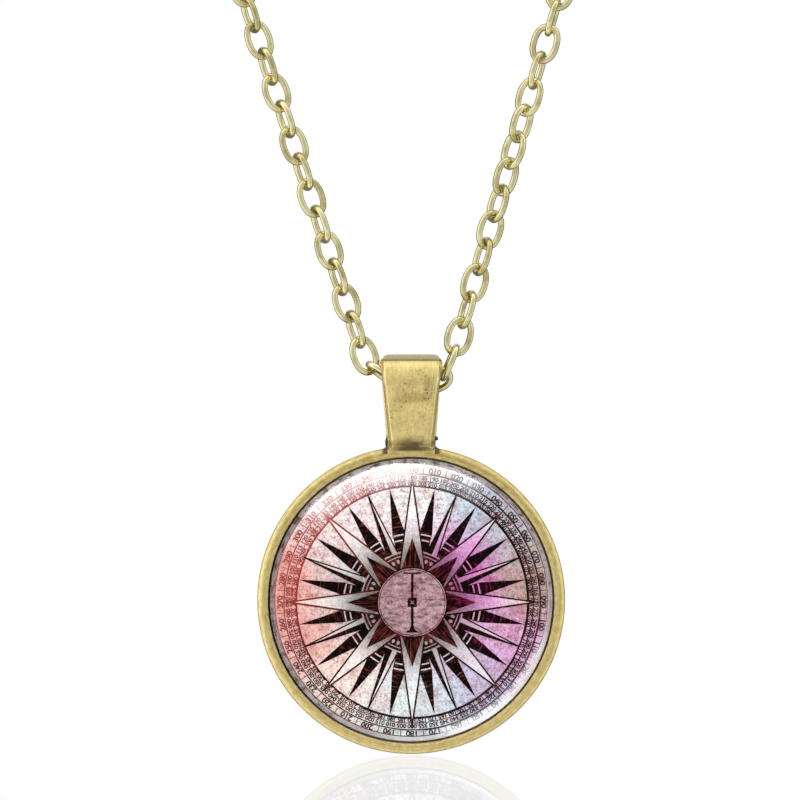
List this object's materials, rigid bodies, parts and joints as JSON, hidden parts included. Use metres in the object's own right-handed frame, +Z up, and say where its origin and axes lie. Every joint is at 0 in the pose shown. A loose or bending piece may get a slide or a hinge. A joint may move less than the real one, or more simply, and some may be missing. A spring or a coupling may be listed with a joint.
{
  "type": "compass pendant necklace",
  "caption": "Round pendant with a printed compass rose under a domed glass, set in a brass tray with a wide bail, on an oval cable chain with a clasp and an extension chain.",
  "frame": {"origin": "middle of the nape of the neck, where the clasp lies and the chain rests", "axes": "+X to the right as seen from the front, +Y to the wearer's back, +Z up; the pendant faces -Y"},
  "size_m": [0.1123, 0.087, 0.1999],
  "materials": {
    "chain_brass": "antique brass, softly polished",
    "setting_brass": "antique brass, worn and lightly pitted",
    "dial_paper": "printed paper, stained pink, blue and violet",
    "dome_glass": "clear polished glass"
  },
  "bodies": {
    "chain": {"chain_left": "chain_brass", "chain_right": "chain_brass", "extender_chain": "chain_brass", "clasp": "chain_brass", "clasp_ring": "chain_brass", "end_ring": "chain_brass"},
    "pendant": {"setting": "setting_brass", "dial": "dial_paper", "cabochon": "dome_glass"}
  },
  "joints": [
    {"name": "pendant_swing", "type": "hinge", "parent": "chain", "child": "pendant", "pos_m": [0, -0.078, -0.1642], "axis": [1, 0, 0], "range_deg": [-90, 90]}
  ]
}
